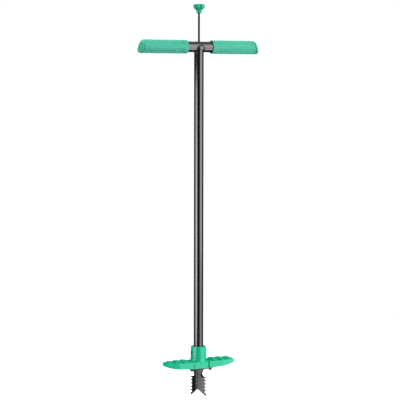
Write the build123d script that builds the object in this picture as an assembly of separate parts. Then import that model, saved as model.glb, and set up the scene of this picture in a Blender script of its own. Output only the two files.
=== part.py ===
from build123d import *
import math
import os

# Upright weed puller, in millimetres.
# The Z axis is the shaft axis, Z = 0 is the level of the blade tips, X runs along the crossbar and
# the pedal, and -Y is the front.

# Shaft and crossbar, welded steel tube
shaft_diameter = 25.0
shaft_wall = 1.5
crossbar_diameter = 27.5
crossbar_wall = 1.5
crossbar_height = 924.6
weld_leg = 3.5
weld_rise = 4.0
weld_arch_radius = 12.5

# Handle grips, one moulding used on both ends
grip_inner_end = 35.0
grip_length = 137.0
grip_wall = 2.75
grip_oval = 2.0
grip_mouth_wall = 1.5
grip_mouth_depth = 5.0
grip_end_slant = 20.0
grip_end_wall = 18.0
grip_end_round = 3.5
grip_inner_round = 1.0
panel_depth = 0.8
panel_inner_margin = 11.0
panel_outer_margin = 7.0
upper_panel_low = 6.1
upper_panel_high = 12.6
lower_panel_low = -15.3
lower_panel_high = -5.8
panel_slant = 4.0
notch_count = 12
notch_first = 74.4
notch_pitch = 7.26
notch_width = 2.9
notch_height = 4.5
notch_depth = 1.7

# Foot pedal, one moulding
pedal_bottom = 79.0
deck_thickness = 17.0
wing_length = 98.0
wing_root_half_width = 24.0
wing_knee = 64.0
wing_knee_half_width = 22.8
wing_tip_half_width = 17.0
wing_tip_round = 4.0
wing_knee_round = 12.0
keel_start = 46.0
keel_rise = 8.6
deck_edge_round = 1.5
block_half_length = 21.5
block_half_width = 24.8
block_thickness = 16.0
block_round = 1.0
groove_width = 4.0
groove_depth = 6.0
groove_overlap = 0.4
hub_height = 55.8
hub_wall = 7.4
hub_draft = 1.0
hub_flare_height = 11.5
hub_top_round = 2.0
hub_floor = 5.0
tread_count = 3
tread_first = 41.5
tread_pitch = 20.5
tread_length = 16.5
tread_height = 3.0
tread_inset = 3.0
tread_end_round = 7.0
tread_top_bevel = 1.0
pedal_wall = 3.0
pedal_deck_wall = 4.0
pocket_start = 40.0
pocket_rib_count = 2

# Base plate and its bolts
plate_thickness = 3.0
plate_length = 69.0
plate_width = 46.0
plate_corner = 6.0
bolt_edge_x = 8.0
bolt_edge_y = 5.5
bolt_diameter = 5.0
bolt_head_flats = 8.0
bolt_head_height = 3.5
bolt_washer_diameter = 10.0
bolt_washer_thickness = 1.0
insert_diameter = 7.0
insert_length = 10.0

# Hub screws
hub_screw_diameter = 4.2
hub_screw_head_diameter = 6.5
hub_screw_recess_diameter = 9.0
hub_screw_head_height = 2.8
hub_screw_head_bevel = 0.8
hub_screw_drop = 16.0
hub_screw_reach = 1.7
hub_screw_sink = 3.4
drive_slot_diameter = 3.0
drive_slot_depth = 1.4

# Blades
blade_thickness = 2.5
blade_half_span = 22.2
blade_fold_half_angle = 56.0
blade_bend = 5.0
blade_gap = 0.8
blade_notch_apex = 24.0
shoulder_height = 53.0
neck_width = 11.5
neck_corner = 4.8
flare_radius = 19.0
flare_margin = 2.0
tooth_count = 5
tooth_first_drop = 5.8
tooth_pitch = 8.9
tooth_depth = 4.6
tooth_land = 0.8
blade_weld_leg = 3.5
blade_weld_reach = 9.5
blade_weld_slope = 22.0
blade_turn = 45.0

# Ejector
rod_diameter = 5.0
rod_end_diameter = 4.0
rod_hole_diameter = 10.0
knob_diameter = 30.0
knob_neck_diameter = 14.6
knob_foot_diameter = 12.5
knob_foot_bevel = 1.0
knob_height = 24.6
knob_neck_height = 8.0
knob_cone_height = 6.0
knob_crown_diameter = 20.0
knob_crown_rise = 1.4
knob_edge_bevel = 1.2
knob_lobes = 7
knob_scallop_radius = 5.0
knob_scallop_depth = 2.2
knob_insert_diameter = 8.0
knob_insert_length = 12.0
ejector_thickness = 3.0
ejector_clearance = 0.9
ejector_tip_trim = 2.5
ejector_round = 2.0
ejector_washer_diameter = 9.0
ejector_washer_thickness = 0.8
ejector_nut_flats = 7.0
ejector_nut_height = 3.2
ejector_travel = 72.5

# Rod guides and return spring
guide_wall = 1.5
guide_tail = 3.0
lower_guide_length = 20.0
spring_wire = 1.4
spring_mean_radius = 7.0
spring_length = 108.0
spring_turns = 8
spring_wire_sides = 6
spring_washer_diameter = 15.0
spring_washer_thickness = 1.0
spring_clip_diameter = 11.0
spring_clip_height = 4.0

# Clearances
seat_clearance = 0.05
running_clearance = 0.08
face_gap = 0.3
cut_past = 1.0

# Worked out from the values above
shaft_radius = shaft_diameter / 2
shaft_bore_radius = shaft_radius - shaft_wall
crossbar_radius = crossbar_diameter / 2
grip_depth = crossbar_diameter + 2 * grip_wall
grip_height = grip_depth + grip_oval
hub_top_radius = shaft_radius + hub_wall
hub_base_radius = hub_top_radius + hub_draft
bolt_spacing_x = plate_length - 2 * bolt_edge_x
bolt_spacing_y = plate_width - 2 * bolt_edge_y
guide_diameter = rod_diameter + 2 * guide_wall
deck_top = pedal_bottom + deck_thickness
hub_top = pedal_bottom + hub_height
floor_top = pedal_bottom + hub_floor
plate_bottom = pedal_bottom - plate_thickness
grip_outer_end = grip_inner_end + grip_length
crossbar_half_length = grip_outer_end - grip_end_wall
hub_screw_height = hub_top - hub_screw_drop
fold_sine = math.sin(math.radians(blade_fold_half_angle))
fold_cosine = math.cos(math.radians(blade_fold_half_angle))
fold_distance = blade_gap / 2 + blade_half_span * fold_cosine / fold_sine
leg_width = blade_half_span / fold_sine
cage_inradius = fold_distance * fold_sine - blade_thickness
spring_foot = floor_top + lower_guide_length + face_gap
washer_foot = spring_foot + spring_length + face_gap
clip_foot = washer_foot + spring_washer_thickness
bolt_length = bolt_washer_thickness + plate_thickness + insert_length
knob_bottom = crossbar_height + crossbar_radius + ejector_travel + face_gap
ejector_top = plate_bottom - face_gap
washer_top = ejector_top - ejector_thickness
nut_top = washer_top - ejector_washer_thickness
rod_foot = nut_top - ejector_nut_height - ejector_washer_thickness

STAND = (Align.CENTER, Align.CENTER, Align.MIN)
HANG = (Align.CENTER, Align.CENTER, Align.MAX)
OUTWARD = (Align.MIN, Align.CENTER, Align.CENTER)
os.makedirs("parts", exist_ok=True)


def rod_z(radius, low, high):
    return Pos(0, 0, low) * Cylinder(radius, high - low, align=STAND)


def rod_x(radius, length):
    return Rot(0, 90, 0) * Cylinder(radius, length)


def ring_z(radius, bore, low, high):
    return rod_z(radius, low, high) - rod_z(bore, low - cut_past, high + cut_past)


def hexagon_z(flats, low, high):
    outline = RegularPolygon(flats / 2, 6, major_radius=False)
    return Pos(0, 0, low) * extrude(outline, high - low)


def write(solid, name):
    export_step(solid, f"parts/{name}.step")


# Crossbar: a plain tube with a hole through its middle for the rod guide
def make_crossbar():
    guide_hole = guide_diameter / 2 + seat_clearance
    tube = rod_x(crossbar_radius, 2 * crossbar_half_length)
    tube -= rod_x(crossbar_radius - crossbar_wall, 2 * (crossbar_half_length + cut_past))
    tube -= Cylinder(guide_hole, 2 * crossbar_diameter)
    return Pos(0, 0, crossbar_height) * tube


# Shaft: a tube coped to the crossbar, with a screw hole in each side at the hub
def make_shaft():
    tube = ring_z(shaft_radius, shaft_bore_radius, floor_top, crossbar_height)
    tube -= Pos(0, 0, crossbar_height) * rod_x(crossbar_radius + seat_clearance, 2 * shaft_diameter)
    screw_hole = rod_x(hub_screw_diameter / 2 + seat_clearance, 2 * shaft_diameter)
    return tube - Pos(0, 0, hub_screw_height) * screw_hole


# Weld: the bead in the corner between shaft and crossbar, arched up the front and the back
def make_tee_weld():
    bead = rod_z(shaft_radius + weld_leg, crossbar_height - crossbar_diameter, crossbar_height + weld_rise)
    bead &= Pos(0, 0, crossbar_height) * rod_x(crossbar_radius + weld_leg, 2 * shaft_diameter)
    arch_height = crossbar_height + weld_rise - weld_arch_radius
    arch = Rot(90, 0, 0) * Cylinder(weld_arch_radius, 2 * crossbar_diameter)
    below = Box(2 * shaft_diameter, 2 * crossbar_diameter, crossbar_diameter, align=HANG)
    bead &= Pos(0, 0, arch_height) * (arch + below)
    bead -= rod_z(shaft_radius + seat_clearance, 0, crossbar_height + crossbar_diameter)
    bead -= Pos(0, 0, crossbar_height) * rod_x(crossbar_radius + seat_clearance, 2 * shaft_diameter)
    return bead


# Grip: an oval moulding with a slanted closed end, sunk panels and a row of finger notches on one side
def grip_form(shrink):
    section = Plane.YZ * SlotCenterToCenter(grip_height - grip_depth, grip_depth - 2 * shrink, rotation=90)
    form = Pos(grip_inner_end, 0, 0) * extrude(section, grip_length)
    end_plane = Plane((grip_outer_end, 0, -grip_height / 2), x_dir=(0, 1, 0), z_dir=(
        math.cos(math.radians(grip_end_slant)), 0, math.sin(math.radians(grip_end_slant))))
    return split(form, bisect_by=end_plane, keep=Keep.BOTTOM)


def panel_prism(low, high):
    near = grip_inner_end + panel_inner_margin
    lean = math.tan(math.radians(grip_end_slant))
    far_low = grip_outer_end - panel_outer_margin - lean * (low + grip_height / 2)
    far_high = grip_outer_end - panel_outer_margin - lean * (high + grip_height / 2)
    outline = Polyline((near, low), (far_low, low), (far_high, high), (near + panel_slant, high), close=True)
    return extrude(Plane.XZ * make_face(outline), grip_depth)


def make_grip():
    body = grip_form(0)
    body = fillet(body.faces().sort_by(Axis.X)[-1].edges(), grip_end_round)
    body = fillet(body.faces().sort_by(Axis.X)[0].edges(), grip_inner_round)
    upper = panel_prism(upper_panel_low, upper_panel_high)
    lower = panel_prism(lower_panel_low, lower_panel_high)
    panels = lower + upper
    panels += mirror(panels, about=Plane.XZ)
    body -= panels - grip_form(panel_depth)
    notch = Box(notch_width, grip_depth, notch_height, align=(Align.CENTER, Align.MIN, Align.MIN))
    for step in range(notch_count):
        place = Pos(notch_first + notch_pitch * step, 0, lower_panel_low)
        body -= place * notch - grip_form(notch_depth)
    bore_length = crossbar_half_length + face_gap - grip_inner_end
    bore = Rot(0, 90, 0) * Cylinder(crossbar_radius + seat_clearance, bore_length, align=STAND)
    mouth = Rot(0, 90, 0) * Cylinder(grip_depth / 2 - grip_mouth_wall, grip_mouth_depth, align=STAND)
    body -= Pos(grip_inner_end, 0, 0) * (bore + mouth)
    return Pos(0, 0, crossbar_height) * body


# Pedal: wings with treads, a block and a flared hub, hollow under the wings
def wing_outline(inset):
    knee = wing_knee_half_width - inset
    tip = wing_tip_half_width - inset
    root = wing_root_half_width - inset
    length = wing_length - inset
    corners = [(0, root), (wing_knee, knee), (length, tip), (length, -tip), (wing_knee, -knee), (0, -root),
               (-wing_knee, -knee), (-length, -tip), (-length, tip), (-wing_knee, knee)]
    face = make_face(Polyline(*corners, close=True))
    tips = face.vertices().filter_by(lambda v: abs(v.X) > length - 1)
    face = fillet(tips, wing_tip_round - inset)
    knees = face.vertices().filter_by(lambda v: abs(abs(v.X) - wing_knee) < 1)
    return fillet(knees, wing_knee_round)


def keel_cut():
    rise_end = pedal_bottom + keel_rise
    curve = TangentArc((keel_start, pedal_bottom), (wing_length, rise_end), tangent=(1, 0))
    rest = Polyline((wing_length, rise_end), (wing_length + cut_past, rise_end),
                    (wing_length + cut_past, pedal_bottom - cut_past), (keel_start, pedal_bottom - cut_past),
                    (keel_start, pedal_bottom))
    cut = extrude(Plane.XZ * make_face(curve + rest), wing_root_half_width, both=True)
    return cut + mirror(cut, about=Plane.YZ)


def groove_cut():
    near = block_half_length + groove_overlap - groove_width
    cut = Box(groove_width, 2 * groove_depth, 2 * deck_thickness, align=OUTWARD)
    front = Pos(near, -block_half_width, deck_top) * cut
    return front + Rot(0, 0, 180) * front


def wing_half_width(distance):
    if distance < wing_knee:
        share = distance / wing_knee
        return wing_root_half_width + share * (wing_knee_half_width - wing_root_half_width)
    share = (distance - wing_knee) / (wing_length - wing_knee)
    return wing_knee_half_width + share * (wing_tip_half_width - wing_knee_half_width)


def make_tread(distance):
    half_width = wing_half_width(distance + tread_length / 2) - tread_inset
    pad = extrude(RectangleRounded(tread_length, 2 * half_width, tread_end_round), tread_height + cut_past)
    pad = chamfer(pad.edges().group_by(Axis.Z)[-1], tread_top_bevel)
    return Pos(distance, 0, deck_top - cut_past) * pad


def make_hub():
    flare_foot = pedal_bottom + block_thickness - cut_past
    flare_top = flare_foot + hub_flare_height
    shoulder = hub_top - hub_top_round
    rim = hub_top_radius - hub_top_round
    side = Line((hub_base_radius, flare_top), (hub_top_radius, shoulder))
    flare = TangentArc((hub_base_radius, flare_top), (block_half_width, flare_foot), tangent=(0, -1))
    top = TangentArc((hub_top_radius, shoulder), (rim, hub_top), tangent=(0, 1))
    rest = Polyline((rim, hub_top), (0, hub_top), (0, floor_top), (block_half_width, floor_top),
                    (block_half_width, flare_foot))
    profile = Plane.XZ * make_face(flare + side + top + rest)
    return revolve(profile, Axis.Z)


def make_pedal():
    wings = Pos(0, 0, pedal_bottom) * extrude(wing_outline(0), deck_thickness)
    wings = fillet(wings.edges().group_by(Axis.Z)[-1], deck_edge_round)
    wings -= keel_cut()
    pocket_height = deck_thickness - pedal_deck_wall
    pocket = Pos(0, 0, pedal_bottom) * extrude(wing_outline(pedal_wall), pocket_height)
    pocket -= Pos(0, 0, pedal_bottom) * Box(2 * pocket_start, 4 * wing_root_half_width, 2 * deck_thickness)
    bay = (wing_length - pedal_wall - pocket_start) / (pocket_rib_count + 1)
    rib = Box(pedal_wall, 4 * wing_root_half_width, 2 * deck_thickness)
    for side in (-1, 1):
        for step in range(pocket_rib_count):
            rib_x = side * (pocket_start + bay * (step + 1))
            pocket -= Pos(rib_x, 0, pedal_bottom) * rib
    pocket -= Pos(0, 0, pedal_bottom) * Box(2 * wing_length, pedal_wall, 2 * deck_thickness)
    block = Box(2 * block_half_length, 2 * block_half_width, block_thickness, align=STAND)
    block = Pos(0, 0, pedal_bottom) * fillet(block.edges().filter_by(Axis.Z), block_round)
    pedal = wings - pocket + block - groove_cut() + make_hub()
    for step in range(tread_count):
        tread = make_tread(tread_first + tread_pitch * step)
        pedal += tread + mirror(tread, about=Plane.YZ)
    pedal -= rod_z(shaft_radius + seat_clearance, floor_top, hub_top + cut_past)
    pedal -= rod_z(rod_hole_diameter / 2, pedal_bottom - cut_past, floor_top + cut_past)
    for x, y in bolt_places():
        pedal -= Pos(x, y, 0) * rod_z(insert_diameter / 2 + seat_clearance, pedal_bottom - cut_past,
                                      pedal_bottom + insert_length + face_gap)
    screw_hole = rod_x(hub_screw_diameter / 2 + seat_clearance, 2 * block_half_width)
    sink = Rot(0, 90, 0) * Cylinder(hub_screw_recess_diameter / 2, hub_base_radius, align=STAND)
    sinks = Pos(hub_screw_seat(), 0, 0) * sink
    return pedal - Pos(0, 0, hub_screw_height) * (screw_hole + sinks + mirror(sinks, about=Plane.YZ))


def bolt_places():
    return [(x, y) for x in (-bolt_spacing_x / 2, bolt_spacing_x / 2)
            for y in (-bolt_spacing_y / 2, bolt_spacing_y / 2)]


def hub_screw_seat():
    return hub_top_radius - hub_screw_sink


# Hub screws: pan heads with a round drive, short of the spring
def make_hub_screws():
    seat = hub_screw_seat()
    reach = shaft_bore_radius - hub_screw_reach
    shank = Cylinder(hub_screw_diameter / 2, seat - reach, align=STAND)
    head = Cylinder(hub_screw_head_diameter / 2, hub_screw_head_height, align=STAND)
    head = chamfer(head.edges().group_by(Axis.Z)[-1], hub_screw_head_bevel)
    drive = Pos(0, 0, hub_screw_head_height - drive_slot_depth) * Cylinder(
        drive_slot_diameter / 2, hub_screw_head_height, align=STAND)
    screw = Pos(0, 0, reach) * shank + Pos(0, 0, seat) * (head - drive)
    right = Pos(0, 0, hub_screw_height) * Rot(0, 90, 0) * screw
    return Compound([right.solid(), mirror(right, about=Plane.YZ).solid()])


# Base plate with its bolts, washers and the inserts that they screw into
def make_base_plate():
    plate = Pos(0, 0, plate_bottom) * extrude(
        RectangleRounded(plate_length, plate_width, plate_corner), plate_thickness)
    plate -= rod_z(rod_hole_diameter / 2, plate_bottom - cut_past, pedal_bottom + cut_past)
    for x, y in bolt_places():
        bolt_hole = rod_z(bolt_diameter / 2 + face_gap, plate_bottom - cut_past, pedal_bottom + cut_past)
        plate -= Pos(x, y, 0) * bolt_hole
    return plate


def at_bolts(solid):
    return Compound([(Pos(x, y, 0) * solid).solid() for x, y in bolt_places()])


def make_bolt():
    seat = plate_bottom - bolt_washer_thickness
    head = hexagon_z(bolt_head_flats, seat - bolt_head_height, seat)
    shank = rod_z(bolt_diameter / 2, seat, seat + bolt_length)
    return head + shank


# Blade: a folded strip with a necked top, a swallow-tail end and teeth milled straight across both edges
def leg_outline():
    flare_room = min(flare_radius, plate_bottom - shoulder_height - neck_corner - seat_clearance)
    flare_limit = flare_radius - math.sqrt(flare_radius ** 2 - flare_room ** 2)
    flare_reach = min(leg_width - flare_margin - neck_width, flare_limit)
    flare_end = neck_width + flare_reach
    flare_drop = math.sqrt(flare_radius ** 2 - (flare_radius - flare_reach) ** 2)
    neck_top = plate_bottom - flare_drop
    flare_middle = flare_radius * (1 - math.cos(math.asin(flare_drop / flare_radius) / 2))
    flare_half = flare_radius * math.sin(math.asin(flare_drop / flare_radius) / 2)
    edge = Polyline((0, blade_notch_apex), (leg_width, 0), (leg_width, shoulder_height),
                    (neck_width, shoulder_height), (neck_width, neck_top))
    flare = ThreePointArc((neck_width, neck_top), (neck_width + flare_middle, neck_top + flare_half),
                          (flare_end, plate_bottom))
    top = Polyline((flare_end, plate_bottom), (0, plate_bottom), (0, blade_notch_apex))
    face = make_face(edge + flare + top)
    corner = face.vertices().filter_by(
        lambda v: abs(v.X - neck_width) < 0.01 and abs(v.Y - shoulder_height) < 0.01)
    return fillet(corner, neck_corner)


def gullet_cuts():
    gullet = tooth_pitch - tooth_land
    radius = (gullet ** 2 / 4 + tooth_depth ** 2) / (2 * tooth_depth)
    cutter = Rot(90, 0, 0) * Cylinder(radius, 4 * fold_distance)
    first = shoulder_height - tooth_first_drop
    reach = blade_half_span - tooth_depth + radius
    return [Pos(side * reach, 0, first - tooth_pitch * step) * cutter
            for side in (-1, 1) for step in range(tooth_count)]


def fold_outline(grow, reach):
    fold = fold_distance + grow / fold_sine
    end_x = reach * fold_sine
    end_y = reach * fold_cosine - fold
    folded = FilletPolyline((-end_x, end_y), (0, -fold), (end_x, end_y), radius=blade_bend + grow)
    return make_face(folded + Line((end_x, end_y), (-end_x, end_y)))


def make_blade():
    strip = extrude(fold_outline(0, leg_width), plate_bottom)
    strip -= extrude(fold_outline(-blade_thickness, 2 * leg_width), plate_bottom)
    leg_plane = Plane(origin=(0, -fold_distance, 0), x_dir=(fold_sine, fold_cosine, 0),
                      z_dir=(fold_cosine, -fold_sine, 0))
    half = extrude(leg_plane * leg_outline(), 2 * blade_thickness, both=True)
    half = split(half, bisect_by=Plane.YZ, keep=Keep.TOP)
    blade = strip & (half + mirror(half, about=Plane.YZ))
    for cut in gullet_cuts():
        blade -= cut
    return Rot(0, 0, -blade_turn) * blade


# Blade weld: a bead along the outside of the fold, under the base plate
def make_blade_weld():
    bead = extrude(fold_outline(blade_weld_leg, blade_weld_reach), blade_weld_leg, taper=blade_weld_slope)
    bead -= extrude(fold_outline(seat_clearance, 2 * blade_weld_reach), 2 * blade_weld_leg)
    bead = Pos(0, 0, plate_bottom) * mirror(bead, about=Plane.XY)
    return Rot(0, 0, -blade_turn) * bead


def and_opposite(solid):
    return Compound([solid.solid(), (Rot(0, 0, 180) * solid).solid()])


# Ejector plate: a diamond that clears the blades all the way down
def make_ejector_plate():
    inradius = cage_inradius - ejector_clearance
    long_half = inradius / fold_cosine
    short_half = inradius / fold_sine
    corners = [(-long_half, 0), (0, -short_half), (long_half, 0), (0, short_half)]
    diamond = make_face(Polyline(*corners, close=True))
    diamond &= Rectangle(2 * (long_half - ejector_tip_trim), 2 * short_half)
    diamond = fillet(diamond.vertices(), ejector_round)
    plate = Pos(0, 0, washer_top) * extrude(diamond, ejector_thickness)
    plate -= rod_z(rod_end_diameter / 2 + seat_clearance, washer_top - cut_past, ejector_top + cut_past)
    return Rot(0, 0, -blade_turn) * plate


# Ejector rod: turned down at both ends to take the plate and the knob
def make_ejector_rod():
    rod = rod_z(rod_diameter / 2, ejector_top, knob_bottom)
    rod += rod_z(rod_end_diameter / 2, rod_foot, ejector_top)
    return rod + rod_z(rod_end_diameter / 2, knob_bottom, knob_bottom + knob_insert_length)


# Knob: a scalloped head on a conical neck
def make_knob():
    neck = knob_neck_diameter / 2
    foot = knob_foot_diameter / 2
    radius = knob_diameter / 2
    top = knob_bottom + knob_height
    cone_foot = knob_bottom + knob_neck_height
    cone_top = cone_foot + knob_cone_height
    rim = top - knob_crown_rise
    outline = Polyline((0, top), (0, knob_bottom), (foot - knob_foot_bevel, knob_bottom),
                       (foot, knob_bottom + knob_foot_bevel), (neck, cone_foot), (radius, cone_top),
                       (radius, rim), (knob_crown_diameter / 2, top), close=True)
    knob = revolve(Plane.XZ * make_face(outline), Axis.Z)
    rim_edges = knob.edges().filter_by(GeomType.CIRCLE).filter_by(lambda e: abs(e.radius - radius) < 0.01)
    knob = chamfer(rim_edges, knob_edge_bevel)
    scallop = rod_z(knob_scallop_radius, cone_foot, top + cut_past)
    distance = radius - knob_scallop_depth + knob_scallop_radius
    for step in range(knob_lobes):
        knob -= Rot(0, 0, step * 360 / knob_lobes) * Pos(distance, 0, 0) * scallop
    bore_top = knob_bottom + knob_insert_length + face_gap
    return knob - rod_z(knob_insert_diameter / 2 + seat_clearance, knob_bottom - cut_past, bore_top)


# Return spring: open coils between the lower guide and the washer on the rod
def make_return_spring():
    height = spring_length - spring_wire
    start = (0, 0, spring_foot + spring_wire / 2)
    coil = Helix(height / spring_turns, height, spring_mean_radius, center=start)
    section = Plane(coil @ 0, z_dir=coil % 0) * RegularPolygon(spring_wire / 2, spring_wire_sides)
    return sweep(section, path=coil, is_frenet=True)


write(make_crossbar(), "crossbar")
write(make_shaft(), "shaft")
write(make_tee_weld(), "tee_weld")
grip_right = make_grip()
write(grip_right, "grip_right")
write(Rot(0, 0, 180) * grip_right, "grip_left")
write(make_pedal(), "pedal")
write(make_hub_screws(), "hub_screws")
write(make_base_plate(), "base_plate")
write(at_bolts(make_bolt()), "plate_bolts")
write(at_bolts(ring_z(bolt_washer_diameter / 2, bolt_diameter / 2 + seat_clearance,
                      plate_bottom - bolt_washer_thickness, plate_bottom)), "plate_washers")
write(at_bolts(ring_z(insert_diameter / 2, bolt_diameter / 2 + seat_clearance,
                      pedal_bottom, pedal_bottom + insert_length)), "pedal_inserts")
blade = make_blade()
write(blade, "blade_front")
write(Rot(0, 0, 180) * blade, "blade_rear")
write(and_opposite(make_blade_weld()), "blade_welds")
write(make_ejector_plate(), "ejector_plate")
write(ring_z(ejector_washer_diameter / 2, rod_end_diameter / 2 + seat_clearance, nut_top, washer_top),
      "ejector_washer")
write(hexagon_z(ejector_nut_flats, nut_top - ejector_nut_height, nut_top)
      - rod_z(rod_end_diameter / 2 + seat_clearance, rod_foot, washer_top), "ejector_nut")
write(make_ejector_rod(), "ejector_rod")
write(make_knob(), "knob")
write(ring_z(knob_insert_diameter / 2, rod_end_diameter / 2 + seat_clearance,
             knob_bottom, knob_bottom + knob_insert_length), "knob_insert")
write(ring_z(guide_diameter / 2, rod_diameter / 2 + running_clearance,
             crossbar_height - crossbar_radius - guide_tail, crossbar_height + crossbar_radius),
      "rod_guide_upper")
write(ring_z(shaft_bore_radius - seat_clearance, rod_diameter / 2 + running_clearance,
             floor_top, floor_top + lower_guide_length), "rod_guide_lower")
write(make_return_spring(), "return_spring")
write(ring_z(spring_washer_diameter / 2, rod_diameter / 2 + seat_clearance,
             washer_foot, washer_foot + spring_washer_thickness), "spring_washer")
write(ring_z(spring_clip_diameter / 2, rod_diameter / 2 + seat_clearance,
             clip_foot, clip_foot + spring_clip_height), "spring_clip")
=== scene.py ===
import math

import bmesh
import bpy
from mathutils import Matrix, Vector


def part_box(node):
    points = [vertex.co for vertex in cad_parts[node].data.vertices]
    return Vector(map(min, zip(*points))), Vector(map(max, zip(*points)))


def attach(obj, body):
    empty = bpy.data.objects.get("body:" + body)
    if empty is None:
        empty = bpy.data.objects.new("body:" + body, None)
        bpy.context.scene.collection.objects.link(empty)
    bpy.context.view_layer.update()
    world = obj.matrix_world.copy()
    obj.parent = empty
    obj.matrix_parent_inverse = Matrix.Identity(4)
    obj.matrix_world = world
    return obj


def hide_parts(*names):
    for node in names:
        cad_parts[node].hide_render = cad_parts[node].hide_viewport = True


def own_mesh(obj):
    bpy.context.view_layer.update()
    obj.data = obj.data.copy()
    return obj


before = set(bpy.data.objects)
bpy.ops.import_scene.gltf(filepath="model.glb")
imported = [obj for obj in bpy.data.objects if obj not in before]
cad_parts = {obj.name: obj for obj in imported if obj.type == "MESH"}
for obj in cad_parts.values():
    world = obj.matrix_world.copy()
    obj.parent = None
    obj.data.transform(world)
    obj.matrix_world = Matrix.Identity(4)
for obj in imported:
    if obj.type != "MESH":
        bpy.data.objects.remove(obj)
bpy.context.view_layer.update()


# Shaft: a straight steel tube, coped at its top to fit the crossbar and powder coated in gloss black.
# Its foot stands in the hub of the pedal, where two screws hold it.
patch_stops = (0.35, 0.65)
patch_detail = 3.0
grain_low, grain_high = 0.3, 0.7
grain_detail = 2.0


def noise_field(tree, scale, detail, stretch):
    place = tree.nodes.new("ShaderNodeTexCoord")
    pull = tree.nodes.new("ShaderNodeMapping")
    pull.inputs["Scale"].default_value = stretch
    noise = tree.nodes.new("ShaderNodeTexNoise")
    noise.inputs["Scale"].default_value = scale
    noise.inputs["Detail"].default_value = detail
    tree.links.new(place.outputs["Object"], pull.inputs["Vector"])
    tree.links.new(pull.outputs["Vector"], noise.inputs["Vector"])
    return noise.outputs["Fac"]


def make_finish(name, dark, light, patch, shiny, dull, specular, grain, depth,
                metallic=0.0, stretch=(1, 1, 1)):
    finish = bpy.data.materials.new(name)
    finish.use_nodes = True
    tree = finish.node_tree
    surface = tree.nodes["Principled BSDF"]
    surface.inputs["Specular IOR Level"].default_value = specular
    surface.inputs["Metallic"].default_value = metallic
    colour = tree.nodes.new("ShaderNodeValToRGB")
    for stop, place, shade in zip(colour.color_ramp.elements, patch_stops, (dark, light)):
        stop.position = place
        stop.color = (*shade, 1)
    tree.links.new(noise_field(tree, patch, patch_detail, stretch), colour.inputs["Fac"])
    tree.links.new(colour.outputs["Color"], surface.inputs["Base Color"])
    fine = noise_field(tree, grain, grain_detail, stretch)
    spread = tree.nodes.new("ShaderNodeMapRange")
    spread.inputs["From Min"].default_value = grain_low
    spread.inputs["From Max"].default_value = grain_high
    spread.inputs["To Min"].default_value = shiny
    spread.inputs["To Max"].default_value = dull
    tree.links.new(fine, spread.inputs["Value"])
    tree.links.new(spread.outputs["Result"], surface.inputs["Roughness"])
    bump = tree.nodes.new("ShaderNodeBump")
    bump.inputs["Distance"].default_value = depth
    tree.links.new(fine, bump.inputs["Height"])
    tree.links.new(bump.outputs["Normal"], surface.inputs["Normal"])
    return finish


def dress(finish, *names):
    for name in names:
        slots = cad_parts[name].data.materials
        slots.clear()
        slots.append(finish)


black_coat = make_finish("black_coat", dark=(0.0015, 0.0015, 0.0015), light=(0.003, 0.003, 0.003), patch=40.0,
                         shiny=0.11, dull=0.15, specular=0.5, grain=300.0, depth=0.0000004)
dress(black_coat, "shaft")

# Crossbar: a second, slightly thicker tube across the shaft's top, in the same black coat.
# A hole through its middle takes the guide of the push rod, and the grips slide over its ends.
bar_low, bar_high = (Vector(corner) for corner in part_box("crossbar"))
bar_axis = (bar_low.z + bar_high.z) / 2
bar_radius = (bar_high.z - bar_low.z) / 2
dress(black_coat, "crossbar")


# Tee weld: the top of the shaft is formed into a lip that reaches up the front and the back of the crossbar.
# One run of weld closes each lip along its arched edge. Its bead is a duller, barely glossy black, painted
# shade for the dark line round the arch.
seam_gap = 0.000001
ring_start = (0.3, 0.5, 0.8)


def add_piece(name, stacks, finish, body, looped=False, sharp=40.0, caps=None):
    mesh = bmesh.new()
    for rings, (first, last) in zip(stacks, caps or [(True, True)] * len(stacks)):
        rows = [[mesh.verts.new(point) for point in ring] for ring in rings]
        pairs = list(zip(rows, rows[1:]))
        if looped:
            pairs.append((rows[-1], rows[0]))
        else:
            for row in [row for row, closed in ((rows[0], first), (rows[-1], last)) if closed]:
                for k in range(len(row) // 2 - 1):
                    mesh.faces.new((row[k], row[k + 1], row[-2 - k], row[-1 - k]))
        for near, far in pairs:
            for step in range(len(near)):
                mesh.faces.new((near[step - 1], near[step], far[step], far[step - 1]))
    if caps:
        bmesh.ops.remove_doubles(mesh, verts=mesh.verts, dist=seam_gap)
    bmesh.ops.recalc_face_normals(mesh, faces=mesh.faces)
    data = bpy.data.meshes.new(name)
    mesh.to_mesh(data)
    mesh.free()
    data.shade_smooth()
    data.set_sharp_from_angle(angle=math.radians(sharp))
    data.materials.append(finish)
    piece = bpy.data.objects.new(name, data)
    bpy.context.scene.collection.objects.link(piece)
    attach(piece, body)
    return piece


def tube_rings(path, radius_at, sides):
    rings = []
    turns = [2 * math.pi * k / sides for k in range(sides)]
    across = Vector(ring_start)
    for step, point in enumerate(path):
        ahead = path[min(step + 1, len(path) - 1)]
        behind = path[max(step - 1, 0)]
        along = (ahead - behind).normalized()
        across = (across - along * across.dot(along)).normalized()
        side = along.cross(across)
        radius = radius_at(step)
        rings.append([point + radius * (across * math.cos(turn) + side * math.sin(turn)) for turn in turns])
    return rings


shaft_low, shaft_high = (Vector(corner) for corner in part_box("shaft"))
shaft_radius = (shaft_high.x - shaft_low.x) / 2
lip_thickness = 0.0011
lip_proud = 0.00006
lip_swell = 0.0026
lip_bulge = 0.0072
lip_foot = -0.022
swell_foot = -0.0135
lip_blend = 0.001
lip_columns = 36
lip_rows = 24
arch_half_width = 0.0098
arch_rise = 0.0032
arch_drop = 0.0165
arch_power = 3.2
bead_steps = 144
bead_sides = 12
bead_end_steps = 12
bead_end_share = 0.3
bead_radius = 0.0015
bead_ripple = 0.06
bead_ripple_steps = 5


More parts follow.
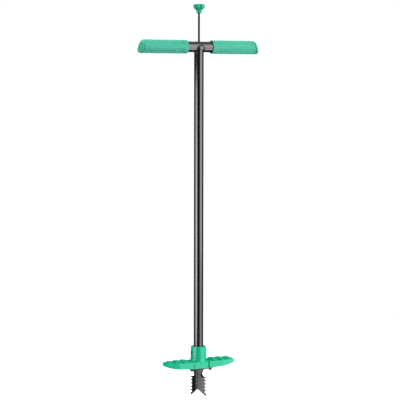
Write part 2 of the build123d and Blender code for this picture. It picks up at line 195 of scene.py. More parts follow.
def lip_reach(x, z):
    climb = max(0.0, (z - swell_foot) / (arch_rise - swell_foot))
    swell = lip_swell * climb + lip_bulge * climb * (1 - climb)
    tube = math.sqrt(max(0.0, (shaft_radius + lip_proud + swell) ** 2 - x ** 2))
    bar = math.sqrt(max(0.0, (bar_radius + lip_thickness) ** 2 - z ** 2))
    share = max(0.0, min(1.0, 0.5 + 0.5 * (tube - bar) / lip_blend))
    return bar + (tube - bar) * share + lip_blend * share * (1 - share)


def lip_edge(x):
    bow = max(0.0, 1 - abs(x / arch_half_width) ** arch_power) ** (1 / arch_power)
    return arch_rise - arch_drop * (1 - bow)


def lip_rings(face):
    rings = []
    across = [-arch_half_width * math.cos(math.pi * step / lip_columns) for step in range(lip_columns + 1)]
    for row in range(lip_rows + 1):
        outside, inside = [], []
        for x in across:
            z = lip_foot + (lip_edge(x) - lip_foot) * row / lip_rows
            reach = lip_reach(x, z)
            outside.append(Vector((x, face * reach, bar_axis + z)))
            inside.append(Vector((x, face * (reach - lip_thickness), bar_axis + z)))
        rings.append(outside + inside[::-1])
    return rings


def bead_path(face):
    path = []
    for step in range(bead_steps + 1):
        x = -arch_half_width * math.cos(math.pi * step / bead_steps)
        z = lip_edge(x)
        path.append(Vector((x, face * (lip_reach(x, z) - lip_thickness / 2), bar_axis + z)))
    return path


def bead_radius_at(step):
    end = min(1.0, bead_end_share + min(step, bead_steps - step) / bead_end_steps)
    return bead_radius * end * (1 + bead_ripple * math.sin(2 * math.pi * step / bead_ripple_steps))


# The bead's dull, barely glossy black is painted shade: it stands for the dark line of shade round the arch,
# where a coated weld would really be as glossy as the coat.
weld_shade_black = make_finish("weld_shade_black", dark=(0.0012, 0.0012, 0.0012), light=(0.0025, 0.0025, 0.0025),
                         patch=150.0, shiny=0.4, dull=0.55, specular=0.06, grain=900.0, depth=0.000004)
tee_lips = add_piece("tee_lips", [lip_rings(face) for face in (-1, 1)], black_coat, "frame",
                     sharp=50.0)
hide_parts("tee_weld")
bead_stacks = [tube_rings(bead_path(face), bead_radius_at, bead_sides) for face in (-1, 1)]
tee_beads = add_piece("tee_beads", bead_stacks, weld_shade_black, "frame")
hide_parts("tee_weld")


# Grips: one green plastic moulding, slid over both ends of the crossbar and turned half round on the left.
# Its section is a short oval, its end is closed at a slant behind a fine groove, and each side has a narrow
# and a wide sunk panel. On one side the wide panel has a row of finger notches along its foot.
def smooth_step(value):
    value = max(0.0, min(1.0, value))
    return value * value * (3 - 2 * value)


def window(value, low, high, edge):
    return smooth_step((value - low) / edge) * smooth_step((high - value) / edge)


def quarter_turns(steps):
    return [math.pi / 2 * step / steps for step in range(steps + 1)]


grip_low, grip_high = (Vector(corner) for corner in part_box("grip_right"))
grip_start = grip_low.x
grip_half_depth = (grip_high.y - grip_low.y) / 2
grip_half_height = (grip_high.z - grip_low.z) / 2
grip_slant = math.tan(math.radians(15.5))
grip_end_round = 0.0055
grip_end_steps = 8
grip_length = grip_high.x - grip_start
grip_lip_round = 0.001
grip_lip_steps = 4
grip_mouth_lip = 0.0003
grip_mouth_wall = 0.0012
grip_mouth_radius = grip_half_depth - grip_mouth_wall
grip_mouth_depth = 0.007
grip_sides = 144
grip_turns = [2 * math.pi * (k + 0.5) / grip_sides for k in range(grip_sides)]
grip_oval_blend = 6
panel_sink = 0.0012
panel_edge = 0.0013
panel_near = 0.011
panel_far = 0.007
panel_slant = 0.004
wide_panel = (-0.0153, -0.0058)
narrow_panel = (0.0061, 0.0126)
notch_first = 0.0744
notch_pitch = 0.00726
notch_count = 12
notch_stations = 10
notch_half_width = 0.0017
notch_height = 0.005
notch_sink = 0.0013
end_groove_back = 0.0006
end_groove_width = 0.0034
end_groove_depth = 0.0014
station_gap = notch_pitch / notch_stations


def panel_depth(x, z, notched):
    deepest = 0.0
    for low, high in (wide_panel, narrow_panel):
        near = grip_start + panel_near + panel_slant * (z - low) / (high - low)
        far = grip_start + grip_length - panel_far - grip_slant * (z + grip_half_height)
        depth = window(z, low, high, panel_edge) * window(x, near, far, panel_edge)
        deepest = max(deepest, panel_sink * depth)
    if notched:
        nearest = max(0, min(notch_count - 1, round((x - notch_first) / notch_pitch)))
        middle = notch_first + nearest * notch_pitch
        notch = window(x, middle - notch_half_width, middle + notch_half_width, panel_edge)
        deepest += notch_sink * notch * window(z, wide_panel[0], wide_panel[0] + notch_height, panel_edge)
    return deepest


def grip_ring(along, shrink):
    ring = []
    straight = grip_half_height - grip_half_depth
    lean = smooth_step(along / grip_length) ** 2
    groove_far = grip_length - grip_end_round - end_groove_back
    groove = end_groove_depth * window(along, groove_far - end_groove_width, groove_far, panel_edge)
    for turn in grip_turns:
        y = math.cos(turn)
        z = math.sin(turn)
        lift = straight * max(-1.0, min(1.0, grip_oval_blend * z))
        height = grip_half_depth * z + lift
        x = grip_start + along - grip_slant * (height + grip_half_height) * lean
        radius = grip_half_depth - shrink - groove - panel_depth(x, height, y > 0)
        ring.append(Vector((x, radius * y, bar_axis + radius * z + lift)))
    return ring


def mouth_ring(along, radius):
    return [Vector((grip_start + along, radius * math.cos(turn), bar_axis + radius * math.sin(turn)))
            for turn in grip_turns]


def grip_rings():
    rings = [mouth_ring(grip_mouth_depth, bar_radius),
             mouth_ring(grip_mouth_depth, grip_mouth_radius),
             mouth_ring(grip_mouth_lip, grip_mouth_radius),
             mouth_ring(0.0, grip_mouth_radius + grip_mouth_lip)]
    for turn in quarter_turns(grip_lip_steps):
        rings.append(grip_ring(grip_lip_round * (1 - math.cos(turn)), grip_lip_round * (1 - math.sin(turn))))
    along = 2 * grip_lip_round
    while along < grip_length - grip_end_round:
        rings.append(grip_ring(along, 0.0))
        along += station_gap
    for turn in quarter_turns(grip_end_steps):
        reach = grip_length - grip_end_round * (1 - math.sin(turn))
        rings.append(grip_ring(reach, grip_end_round * (1 - math.cos(turn))))
    return rings


grip_plastic = make_finish("grip_plastic", dark=(0.018, 0.176, 0.118), light=(0.021, 0.186, 0.124),
                           patch=20.0, shiny=0.45, dull=0.53, specular=0.28, grain=150.0, depth=0.000004)
right_rings = grip_rings()
left_rings = [[Vector((-point.x, -point.y, point.z)) for point in ring] for ring in right_rings]
for side, rings in (("right", right_rings), ("left", left_rings)):
    grip = add_piece(f"{side}_grip", [rings], grip_plastic, "frame", sharp=50.0)
    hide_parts(f"grip_{side}")

# Pedal: one glossy green moulding with a hub for the shaft, a block over the base plate and two wings.
# Three raised treads on each wing give the boot a hold, and the wings are hollow and ribbed underneath.
pedal_plastic = make_finish("pedal_plastic", dark=(0.001, 0.18, 0.096), light=(0.0016, 0.192, 0.103),
                            patch=60.0, shiny=0.15, dull=0.19, specular=0.19, grain=700.0, depth=0.000001)
dress(pedal_plastic, "pedal")

# Inserts: turned brass sleeves, moulded into the pedal's underside for the four bolts and into the knob.
# The push rod screws into the one in the knob.
brass = make_finish("turned_brass", dark=(0.5, 0.36, 0.13), light=(0.6, 0.45, 0.18), patch=300.0,
                    shiny=0.25, dull=0.4, specular=0.5, grain=2500.0, depth=0.00002, metallic=1.0)
dress(brass, "pedal_inserts", "knob_insert")


# Hub screws: two screws with low round heads and a hexagon socket, sunk in the hub's sides into the shaft.
# They are blackened steel.
def circle_points(radius, count):
    return [(radius * math.cos(2 * math.pi * k / count), radius * math.sin(2 * math.pi * k / count))
            for k in range(count)]


def hexagon_points(flats, count):
    points = []
    for k in range(count):
        turn = 2 * math.pi * k / count
        reach = flats / 2 / math.cos(turn % (math.pi / 3) - math.pi / 6)
        points.append((reach * math.cos(turn), reach * math.sin(turn)))
    return points


black_fastener = make_finish("black_fastener", dark=(0.0015, 0.0015, 0.0015), light=(0.004, 0.004, 0.004),
                             patch=250.0, shiny=0.35, dull=0.5, specular=0.08, grain=2000.0, depth=0.00001)
screw_low, screw_high = (Vector(corner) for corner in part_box("hub_screws"))
screw_height = (screw_low.z + screw_high.z) / 2
screw_face = screw_high.x
screw_head_radius = (screw_high.z - screw_low.z) / 2
screw_head_thickness = 0.0028
screw_head_side = 0.0014
screw_head_round = 0.0011
screw_head_steps = 4
screw_shank_radius = 0.0021
screw_reach = 0.0093
screw_socket = 0.003
screw_socket_depth = 0.0014
screw_points = 24


def hub_screw_rings(side):
    seat = screw_face - screw_head_thickness
    outlines = [(screw_reach, circle_points(screw_shank_radius, screw_points)),
                (seat, circle_points(screw_shank_radius, screw_points)),
                (seat, circle_points(screw_head_radius, screw_points))]
    for turn in quarter_turns(screw_head_steps):
        crown = seat + screw_head_side + (screw_head_thickness - screw_head_side) * math.sin(turn)
        radius = screw_head_radius - screw_head_round * (1 - math.cos(turn))
        outlines.append((crown, circle_points(radius, screw_points)))
    outlines.append((screw_face, hexagon_points(screw_socket, screw_points)))
    outlines.append((screw_face - screw_socket_depth, hexagon_points(screw_socket, screw_points)))
    return [[Vector((side * x, y, screw_height + z)) for y, z in points] for x, points in outlines]


hub_screws = add_piece("hub_screw_pair", [hub_screw_rings(-1), hub_screw_rings(1)], black_fastener,
                       "frame", sharp=30.0)
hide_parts("hub_screws")

# Base plate: a rounded rectangle of black steel sheet under the pedal, bolted to it at the four corners.
# It carries the blades, which are welded to its underside.
plate_steel = make_finish("plate_steel", dark=(0.002, 0.002, 0.002), light=(0.005, 0.005, 0.005), patch=90.0,
                          shiny=0.4, dull=0.55, specular=0.25, grain=1800.0, depth=0.00001)
dress(plate_steel, "base_plate")

# Plate bolts: four blackened hexagon bolts with washers, screwed up through the plate into the pedal's
# inserts. Their heads are forged, with the corners turned off at the free end.
bolt_low, bolt_high = (Vector(corner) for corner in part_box("plate_bolts"))
bolt_flats = 0.008
bolt_corner = bolt_flats / math.sqrt(3)
bolt_head = 0.0035
bolt_bevel = 0.0006
bolt_shank_radius = 0.0025
bolt_points = 36


def bolt_rings(x, y):
    bottom = bolt_low.z
    outlines = [(bottom, circle_points(bolt_flats / 2 - bolt_bevel, bolt_points)),
                (bottom + bolt_bevel / 2, circle_points(bolt_flats / 2, bolt_points)),
                (bottom + bolt_bevel, hexagon_points(bolt_flats, bolt_points)),
                (bottom + bolt_head, hexagon_points(bolt_flats, bolt_points)),
                (bottom + bolt_head, circle_points(bolt_shank_radius, bolt_points)),
                (bolt_high.z, circle_points(bolt_shank_radius, bolt_points))]
    return [[Vector((x + a, y + b, z)) for a, b in points] for z, points in outlines]


bolt_x = bolt_high.x - bolt_corner
bolt_y = bolt_high.y - bolt_flats / 2
bolt_stacks = [bolt_rings(x, y) for x in (-bolt_x, bolt_x) for y in (-bolt_y, bolt_y)]
bolts = add_piece("plate_bolt_set", bolt_stacks, black_fastener, "frame", sharp=20.0)
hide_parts("plate_bolts")
dress(black_fastener, "plate_washers")


# Blades: two strips of dark hardened steel, each folded along its middle, necked under the plate,
# milled into teeth along both edges and cut to a swallow tail. The cut edges are bare and a little brighter.
rubbed_from, rubbed_to = 0.98, 0.85


def bare_edges(finish, width, bare):
    tree = finish.node_tree
    surface = tree.nodes["Principled BSDF"]
    rounded = tree.nodes.new("ShaderNodeBevel")
    rounded.inputs["Radius"].default_value = width
    true_face = tree.nodes.new("ShaderNodeNewGeometry")
    match = tree.nodes.new("ShaderNodeVectorMath")
    match.operation = "DOT_PRODUCT"
    tree.links.new(rounded.outputs["Normal"], match.inputs[0])
    tree.links.new(true_face.outputs["Normal"], match.inputs[1])
    rubbed = tree.nodes.new("ShaderNodeMapRange")
    rubbed.inputs["From Min"].default_value = rubbed_from
    rubbed.inputs["From Max"].default_value = rubbed_to
    tree.links.new(match.outputs["Value"], rubbed.inputs["Value"])
    blend = tree.nodes.new("ShaderNodeMix")
    blend.data_type = "RGBA"
    blend.inputs["B"].default_value = (*bare, 1)
    tree.links.new(rubbed.outputs["Result"], blend.inputs["Factor"])
    tree.links.new(surface.inputs["Base Color"].links[0].from_socket, blend.inputs["A"])
    tree.links.new(blend.outputs["Result"], surface.inputs["Base Color"])


blade_steel = make_finish("blade_steel", dark=(0.13, 0.13, 0.132), light=(0.16, 0.16, 0.162), patch=120.0,
                          shiny=0.15, dull=0.21, specular=0.5, grain=1600.0, depth=0.000004, metallic=1.0,
                          stretch=(1, 1, 0.15))
bare_edges(blade_steel, width=0.0006, bare=(0.24, 0.24, 0.245))
plate_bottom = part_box("base_plate")[0][2]
fold_half_angle = math.radians(56)
fold_sine = math.sin(fold_half_angle)
fold_cosine = math.cos(fold_half_angle)
fold_distance = 0.01537
fold_bend = 0.005
fold_turn = math.radians(-45)
bend_end = fold_bend / math.tan(fold_half_angle)
blade_thickness = 0.0025
blade_half_span = 0.0222
blade_leg = blade_half_span / fold_sine
blade_gap = 0.0008
edge_thickness = 0.0002
blade_apex = 0.024
tip_height = 0.0005
shoulder_height = 0.053
shoulder_step = 0.00005
neck_width = 0.0115
neck_corner = 0.0048
neck_core = 0.009
flare_radius = 0.019
flare_drop = 0.0181
tooth_count = 5
tooth_first = 0.0472
tooth_pitch = 0.0089
gullet_half_width = 0.0027
gullet_depth = 0.0053
gullet_power = 4
leg_steps = 4
row_steps = 16


def blade_reach(row):
    if row >= shoulder_height:
        rise = row - shoulder_height
        climb = max(0.0, row - plate_bottom + flare_drop)
        flare = flare_radius - math.sqrt(flare_radius ** 2 - climb ** 2)
        corner = neck_corner - math.sqrt(neck_corner ** 2 - max(0.0, neck_corner - rise) ** 2)
        return neck_width + flare + corner
    nearest = max(0, min(tooth_count - 1, round((tooth_first - row) / tooth_pitch)))
    aside = abs(row - tooth_first + nearest * tooth_pitch) / gullet_half_width
    return (blade_half_span - gullet_depth * math.sqrt(1 - min(1.0, aside) ** gullet_power)) / fold_sine


def leg_point(along, inside, z):
    bevel = (fold_distance - blade_gap / 2 - along * fold_cosine) / fold_sine
    depth = max(edge_thickness, min(blade_thickness, bevel)) if inside else 0.0
    if along < bend_end:
        swing = (math.pi / 2 - fold_half_angle) * along / bend_end
        middle = fold_bend / fold_sine - fold_distance
        reach = fold_bend - depth
        return Vector((reach * math.sin(swing), middle - reach * math.cos(swing), z))
    return Vector((along * fold_sine - depth * fold_cosine,
                   along * fold_cosine - fold_distance + depth * fold_sine, z))


def leg_line(row, inside):
    start = blade_leg * max(0.0, 1 - row / blade_apex)
    reach = blade_reach(row)
    scale = min(1.0, (reach - start) / neck_width)
    core = start + scale * neck_core
    steps = [start + scale * bend_end * step / leg_steps for step in range(leg_steps + 1)]
    steps += [core + (reach - core) * step / leg_steps for step in range(leg_steps + 1)]
    return [leg_point(along, inside, row) for along in steps]


def mirrored(line):
    return [Vector((-point.x, point.y, point.z)) for point in reversed(line)]


def blade_stacks(turn):
    neck = plate_bottom - shoulder_height
    rows = [plate_bottom - neck * step / row_steps for step in range(row_steps + 1)]
    rows.append(shoulder_height - shoulder_step)
    for tooth in range(tooth_count):
        rows += [tooth_first - tooth * tooth_pitch + gullet_half_width * math.cos(math.pi * step / row_steps)
                 for step in range(row_steps + 1)]
    whole, left_tail, right_tail = [], [], []
    for row in [row for row in rows if row > blade_apex] + [blade_apex]:
        outside, inside = leg_line(row, False), leg_line(row, True)
        whole.append(mirrored(outside[1:]) + outside + (mirrored(inside[1:]) + inside)[::-1])
    for row in [blade_apex] + [row for row in rows if row < blade_apex] + [tip_height]:
        outside, inside = leg_line(row, False), leg_line(row, True)
        right_tail.append(outside + inside[::-1])
        left_tail.append(mirrored(outside) + mirrored(inside)[::-1])
    place = Matrix.Rotation(turn, 3, "Z")
    return [[[place @ point for point in ring] for ring in rings] for rings in (whole, left_tail, right_tail)]


for side, turn in (("front", fold_turn), ("rear", fold_turn + math.pi)):
    blade = add_piece(f"{side}_blade", blade_stacks(turn), blade_steel, "frame",
                      caps=[(True, False), (False, True), (False, True)])
    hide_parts(f"blade_{side}")

# Blade welds: one short run of weld on the outside of each fold, where the blade stands on the plate.
# Each run goes round the fold and a little way along both legs, in even ripples.
weld_reach = 0.0095
weld_radius = 0.0019
weld_ripple = 0.09
weld_ripple_steps = 4
weld_proud = 0.0007
weld_drop = 0.001
weld_end_share = 0.5
weld_steps = 24
weld_stretches = 4
weld_sides = 12


def blade_weld_path(turn):
    leg = Vector((fold_sine, fold_cosine, 0))
    face = Vector((fold_cosine, -fold_sine, 0))
    tip = Vector((0, -fold_distance, 0))
    middle = tip + Vector((0, fold_bend / fold_sine, 0))
    half_bend = math.pi / 2 - fold_half_angle
    run = [tip + leg * (weld_reach + (bend_end - weld_reach) * step / weld_steps) + face * weld_proud
           for step in range(weld_steps)]
    for step in range(weld_steps):
        swing = half_bend * (1 - step / weld_steps)
        run.append(middle + (fold_bend + weld_proud) * Vector((math.sin(swing), -math.cos(swing), 0)))
    run += [Vector((-point.x, point.y, 0)) for point in reversed(run)]
    lift = Vector((0, 0, plate_bottom - weld_drop))
    return [Matrix.Rotation(turn, 3, "Z") @ point + lift for point in run]


def weld_radius_at(step):
    last = weld_stretches * weld_steps - 1
    end = min(1.0, weld_end_share + min(step, last - step) / weld_ripple_steps)
    return weld_radius * end * (1 + weld_ripple * math.sin(2 * math.pi * step / weld_ripple_steps))


weld_stacks = [tube_rings(blade_weld_path(turn), weld_radius_at, weld_sides)
               for turn in (fold_turn, fold_turn + math.pi)]
blade_beads = add_piece("blade_beads", weld_stacks, plate_steel, "frame")
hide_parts("blade_welds")

# Push rod: a thin steel rod in dull black, through the crossbar and the shaft.
# It runs from the knob down to the ejector plate between the blades.
rod_black = make_finish("rod_black", dark=(0.001, 0.001, 0.001), light=(0.002, 0.002, 0.002), patch=80.0,
                        shiny=0.35, dull=0.45, specular=0.02, grain=600.0, depth=0.000001)
dress(rod_black, "ejector_rod")

# Ejector plate: a small diamond of steel sheet that slides between the blades and pushes the root out.
# A zinc washer and a hexagon nut hold it on the threaded foot of the rod.
bright_fastener = make_finish("bright_fastener", dark=(0.5, 0.51, 0.53), light=(0.62, 0.63, 0.65),
                              patch=250.0, shiny=0.22, dull=0.36, specular=0.5, grain=2000.0, depth=0.00002,
                              metallic=1.0)
nut_low, nut_high = (Vector(corner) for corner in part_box("ejector_nut"))
nut_flats = nut_high.y - nut_low.y
nut_bevel = 0.0005
nut_bore = 0.00205
nut_points = 36


def nut_rings():
    outlines = [(nut_low.z, circle_points(nut_bore, nut_points)),
                (nut_low.z, circle_points(nut_flats / 2 - nut_bevel, nut_points)),
                (nut_low.z + nut_bevel, hexagon_points(nut_flats, nut_points)),
                (nut_high.z - nut_bevel, hexagon_points(nut_flats, nut_points)),
                (nut_high.z, circle_points(nut_flats / 2 - nut_bevel, nut_points)),
                (nut_high.z, circle_points(nut_bore, nut_points))]
    return [[Vector((x, y, z)) for x, y in points] for z, points in outlines]


ejector_nut = add_piece("foot_nut", [nut_rings()], bright_fastener, "ejector",
                        looped=True, sharp=20.0)
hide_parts("ejector_nut")
dress(plate_steel, "ejector_plate")
dress(bright_fastener, "ejector_washer")

# Return spring: oiled spring wire coiled round the rod inside the shaft, with its end turns closed.
# It stands on the lower guide and pushes up a washer that a clip on the rod holds.
spring_steel = make_finish("spring_steel", dark=(0.28, 0.28, 0.3), light=(0.38, 0.38, 0.4), patch=200.0,
                           shiny=0.2, dull=0.34, specular=0.5, grain=2500.0, depth=0.00001, metallic=1.0)
spring_low, spring_high = (Vector(corner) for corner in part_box("return_spring"))
spring_wire_radius = 0.0007
spring_wire_sides = 10
spring_coil_radius = spring_high.x - spring_wire_radius
spring_turns = 10
spring_turn_steps = 40
spring_end_turns = 1.0


def spring_path():
    bottom = spring_low.z + spring_wire_radius
    height = spring_high.z - spring_low.z - 2 * spring_wire_radius
    end_rise = 2 * spring_wire_radius * spring_end_turns
    open_turns = spring_turns - 2 * spring_end_turns
    path = []
    for step in range(spring_turns * spring_turn_steps + 1):
        turns = step / spring_turn_steps
        opened = max(0.0, min(open_turns, turns - spring_end_turns))
        closed = turns - opened
        rise = closed * 2 * spring_wire_radius + opened / open_turns * (height - 2 * end_rise)
        angle = 2 * math.pi * turns
        path.append(Vector((spring_coil_radius * math.cos(angle), spring_coil_radius * math.sin(angle),
                            bottom + rise)))
    return path


def spring_wire_at(step):
    return spring_wire_radius


spring_coil = add_piece("spring_coil", [tube_rings(spring_path(), spring_wire_at, spring_wire_sides)],
                        spring_steel, "frame")
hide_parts("return_spring")
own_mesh(spring_coil)
dress(spring_steel, "spring_clip")
dress(bright_fastener, "spring_washer")

# Rod guides: black nylon bushes that the rod slides in, one through the crossbar and one at the shaft's foot.
# Both are turned from bar and pressed in.
guide_nylon = make_finish("guide_nylon", dark=(0.004, 0.004, 0.004), light=(0.008, 0.008, 0.008), patch=150.0,
                          shiny=0.4, dull=0.55, specular=0.3, grain=2000.0, depth=0.00001)
dress(guide_nylon, "rod_guide_upper", "rod_guide_lower")

# Knob: a glossy green moulding of seven rounded lobes on a cone and a short neck, screwed on the rod's top.
# A hand presses it down to push the weed out.
knob_low, knob_high = (Vector(corner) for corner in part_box("knob"))
knob_radius = 0.015
knob_lobes = 7
knob_scallop_radius = 0.005
knob_scallop_depth = 0.0022
knob_neck_radius = 0.0073
knob_foot_radius = 0.00625
knob_foot_round = 0.001
knob_neck_height = 0.008
knob_neck_steps = 6
knob_cone_height = 0.006
knob_cone_steps = 10
knob_cone_power = 1.3
knob_head_round = 0.0022
knob_head_steps = 6
knob_crown_rise = 0.0012
knob_crown_shares = (0.7, 0.4, 0.15)
knob_cavity_radius = 0.0042
knob_cavity_depth = 0.0123
knob_points = 168
knob_soften = 3


def knob_reach(turn):
    pitch = 2 * math.pi / knob_lobes
    offset = (turn + pitch / 2) % pitch - pitch / 2
    centre = knob_radius - knob_scallop_depth + knob_scallop_radius
    aside = centre * math.sin(offset)
    if abs(aside) >= knob_scallop_radius:
        return knob_radius
    return min(knob_radius, centre * math.cos(offset) - math.sqrt(knob_scallop_radius ** 2 - aside ** 2))


def soft_knob_reach(turn):
    step = 2 * math.pi / knob_points
    near = range(-knob_soften, knob_soften + 1)
    return sum(knob_reach(turn + step * k) for k in near) / len(near)


def knob_profile():
    head_foot = knob_low.z + knob_neck_height + knob_cone_height
    rim = knob_high.z - knob_crown_rise
    neck_rise = knob_neck_height - knob_foot_round
    neck_swell = knob_neck_radius - knob_foot_radius
    profile = [(knob_low.z, knob_foot_radius - knob_foot_round),
               (knob_low.z + knob_foot_round, knob_foot_radius)]
    for step in range(1, knob_neck_steps + 1):
        profile.append((knob_low.z + knob_foot_round + neck_rise * step / knob_neck_steps,
                        knob_foot_radius + neck_swell * step / knob_neck_steps))
    for step in range(1, knob_cone_steps + 1):
        share = step / knob_cone_steps
        profile.append((knob_low.z + knob_neck_height + knob_cone_height * share,
                        knob_neck_radius + (knob_radius - knob_neck_radius) * share ** knob_cone_power))
    profile.append((head_foot + (rim - knob_head_round - head_foot) / 2, knob_radius))
    for turn in quarter_turns(knob_head_steps):
        profile.append((rim - knob_head_round * (1 - math.sin(turn)),
                        knob_radius - knob_head_round * (1 - math.cos(turn))))
    for share in knob_crown_shares:
        profile.append((knob_high.z - knob_crown_rise * share ** 2, knob_radius * share))
    return profile


def knob_rings():
    turns = [2 * math.pi * k / knob_points for k in range(knob_points)]
    rings = []
    for depth, radius in ((knob_cavity_depth, knob_cavity_radius), (0.0, knob_cavity_radius)):
        rings.append([Vector((radius * math.cos(turn), radius * math.sin(turn), knob_low.z + depth))
                      for turn in turns])
    for z, radius in knob_profile():
        ring = []
        for turn in turns:
            trim = min(1.0, radius / knob_radius) * (knob_radius - soft_knob_reach(turn))
            spread = (radius - knob_foot_radius) / (knob_radius - knob_foot_radius)
            reach = radius - trim * smooth_step(spread)
            ring.append(Vector((reach * math.cos(turn), reach * math.sin(turn), z)))
        rings.append(ring)
    return rings


lobed_knob = add_piece("lobed_knob", [knob_rings()], pedal_plastic, "ejector", sharp=60.0)
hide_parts("knob")

# Floor: a plain white studio floor that fades out before its edge, so that no horizon shows.
# It stays out of the gloss of the steel, which would otherwise mirror it from below.
floor_radius = 0.6
floor_solid = 0.3
floor_corners = 96
bpy.ops.mesh.primitive_circle_add(vertices=floor_corners, radius=floor_radius, fill_type="NGON")
floor = bpy.context.object
floor.name = "floor"
floor_white = make_finish("floor_white", dark=(0.84, 0.84, 0.84), light=(0.86, 0.86, 0.86), patch=8.0,
                          shiny=0.85, dull=0.95, specular=0.1, grain=200.0, depth=0.00001)
tree = floor_white.node_tree
place = tree.nodes.new("ShaderNodeTexCoord")
reach = tree.nodes.new("ShaderNodeVectorMath")
reach.operation = "LENGTH"
tree.links.new(place.outputs["Object"], reach.inputs[0])
fade = tree.nodes.new("ShaderNodeMapRange")
fade.interpolation_type = "SMOOTHSTEP"
fade.inputs["From Min"].default_value = floor_solid
fade.inputs["From Max"].default_value = floor_radius
fade.inputs["To Min"].default_value = 1.0
fade.inputs["To Max"].default_value = 0.0
tree.links.new(reach.outputs["Value"], fade.inputs["Value"])
tree.links.new(fade.outputs["Result"], tree.nodes["Principled BSDF"].inputs["Alpha"])
floor.data.materials.append(floor_white)
floor.visible_glossy = False
floor.visible_shadow = False

# Studio: a white room that only the camera sees, dim to everything else.
# Strip panels round the tool are there for the gloss alone, and broad soft fills light its colours.
white = (1, 1, 1, 1)
black = (0, 0, 0, 1)
room_glow = 0.06
world = bpy.data.worlds.new("studio")
bpy.context.scene.world = world
world.use_nodes = True
tree = world.node_tree
room = tree.nodes["Background"]
room.inputs["Strength"].default_value = room_glow
room.inputs["Color"].default_value = white
backdrop = tree.nodes.new("ShaderNodeBackground")
backdrop.inputs["Color"].default_value = white
ray = tree.nodes.new("ShaderNodeLightPath")
choice = tree.nodes.new("ShaderNodeMixShader")
tree.links.new(ray.outputs["Is Camera Ray"], choice.inputs["Fac"])
tree.links.new(room.outputs["Background"], choice.inputs[1])
tree.links.new(backdrop.outputs["Background"], choice.inputs[2])
tree.links.new(choice.outputs["Shader"], tree.nodes["World Output"].inputs["Surface"])

camera_yaw = math.radians(24.23)
towards_camera = Vector((-math.sin(camera_yaw), -math.cos(camera_yaw), 0))
to_the_right = Vector((math.cos(camera_yaw), -math.sin(camera_yaw), 0))
panel_distance = 2.0
tool_foot = Vector((0, 0, 0))
tool_middle = Vector((0, 0, 0.5))


def add_fill(name, place, aim, width, height, radiance):
    light = bpy.data.lights.new(name, "AREA")
    light.shape = "RECTANGLE"
    light.size = width
    light.size_y = height
    light.energy = radiance * math.pi * width * height
    fill = bpy.data.objects.new(name, light)
    fill.location = place
    fill.rotation_euler = (aim - place).to_track_quat("-Z", "Y").to_euler()
    fill.visible_camera = False
    fill.visible_glossy = False
    bpy.context.scene.collection.objects.link(fill)


def add_strip(name, place, aim, width, height, radiance):
    corners = [(x * width / 2, y * height / 2, 0) for x, y in ((-1, -1), (1, -1), (1, 1), (-1, 1))]
    sheet = bpy.data.meshes.new(name)
    sheet.from_pydata(corners, [], [(0, 1, 2, 3)])
    glow = bpy.data.materials.new(name)
    glow.use_nodes = True
    surface = glow.node_tree.nodes["Principled BSDF"]
    surface.inputs["Base Color"].default_value = black
    surface.inputs["Specular IOR Level"].default_value = 0.0
    surface.inputs["Emission Color"].default_value = white
    surface.inputs["Emission Strength"].default_value = radiance
    glow.cycles.emission_sampling = "NONE"
    sheet.materials.append(glow)
    strip = bpy.data.objects.new(name, sheet)
    strip.location = place
    strip.rotation_euler = (aim - place).to_track_quat("-Z", "Y").to_euler()
    strip.visible_camera = False
    strip.visible_diffuse = False
    strip.visible_shadow = False
    bpy.context.scene.collection.objects.link(strip)


def round_the_tool(add, name, near, far, foot, top, radiance):
    turn = math.radians((near + far) / 2)
    width = 2 * panel_distance * math.tan(math.radians(abs(far - near) / 2))
    middle = Vector((0, 0, (foot + top) / 2))
    out = towards_camera * math.cos(turn) + to_the_right * math.sin(turn)
    add(name, middle + panel_distance * out, middle, width, top - foot, radiance)


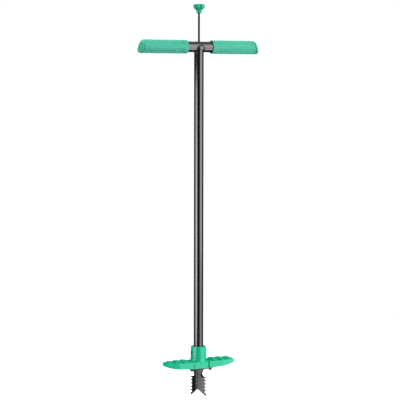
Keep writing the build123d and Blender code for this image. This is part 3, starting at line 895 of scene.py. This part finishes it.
round_the_tool(add_strip, "right_strip", near=30, far=85, foot=0.1, top=3.0, radiance=7.0)
round_the_tool(add_strip, "right_low_strip", near=30, far=85, foot=-0.37, top=0.1, radiance=4.5)
round_the_tool(add_strip, "blade_strip", near=14, far=34, foot=-0.75, top=-0.37, radiance=1.1)
round_the_tool(add_strip, "right_foot_strip", near=34, far=85, foot=-3.0, top=-0.37, radiance=6.5)
round_the_tool(add_strip, "left_low_strip", near=-35, far=-62, foot=-0.26, top=0.0, radiance=10.0)
round_the_tool(add_strip, "left_strip", near=-35, far=-62, foot=0.0, top=0.6, radiance=12.5)
round_the_tool(add_strip, "left_top_strip", near=-35, far=-62, foot=0.6, top=0.85, radiance=9.0)
round_the_tool(add_strip, "far_left_strip", near=-62, far=-84, foot=-0.26, top=0.85, radiance=7.5)
high_left_tilt = math.radians(60)
high_left_distance = 2.2
high_left = -to_the_right * math.cos(high_left_tilt) + Vector((0, 0, math.sin(high_left_tilt)))
add_strip("high_left_strip", place=tool_middle + high_left_distance * high_left, aim=tool_middle,
          width=1.6, height=1.6, radiance=8.0)
add_strip("top_strip", place=Vector((0, 0, 3.0)), aim=tool_foot, width=2.4, height=2.4, radiance=1.2)

round_the_tool(add_fill, "front_fill", near=-31, far=31, foot=-0.7, top=1.7, radiance=3.0)
round_the_tool(add_fill, "right_fill", near=70, far=114, foot=-0.7, top=1.7, radiance=11.2)
round_the_tool(add_fill, "left_fill", near=-121, far=-59, foot=-0.7, top=1.7, radiance=3.7)
round_the_tool(add_fill, "back_fill", near=149, far=211, foot=-0.7, top=1.7, radiance=4.0)
add_fill("top_fill", place=Vector((0, 0, 6.0)), aim=tool_foot, width=6.0, height=6.0, radiance=8.3)

# Camera: the photograph's place, a little above the middle of the tool and to the left of its front.
# The colours are shown as they are, with no film curve.
camera_place = (-1.4794, -3.2873, 0.8324)
camera_aim_height = 0.524
camera_aim_aside = 0.0035
camera_roll = math.radians(0.095)
camera_data = bpy.data.cameras.new("camera")
camera_data.lens = 123.7
camera = bpy.data.objects.new("camera", camera_data)
camera.location = camera_place
camera_aim = Vector((0, 0, camera_aim_height)) + to_the_right * camera_aim_aside
camera.rotation_euler = (camera_aim - camera.location).to_track_quat("-Z", "Y").to_euler()
camera.rotation_euler.rotate_axis("Z", camera_roll)
bpy.context.scene.collection.objects.link(camera)
bpy.context.scene.camera = camera
bpy.context.scene.view_settings.view_transform = "Standard"
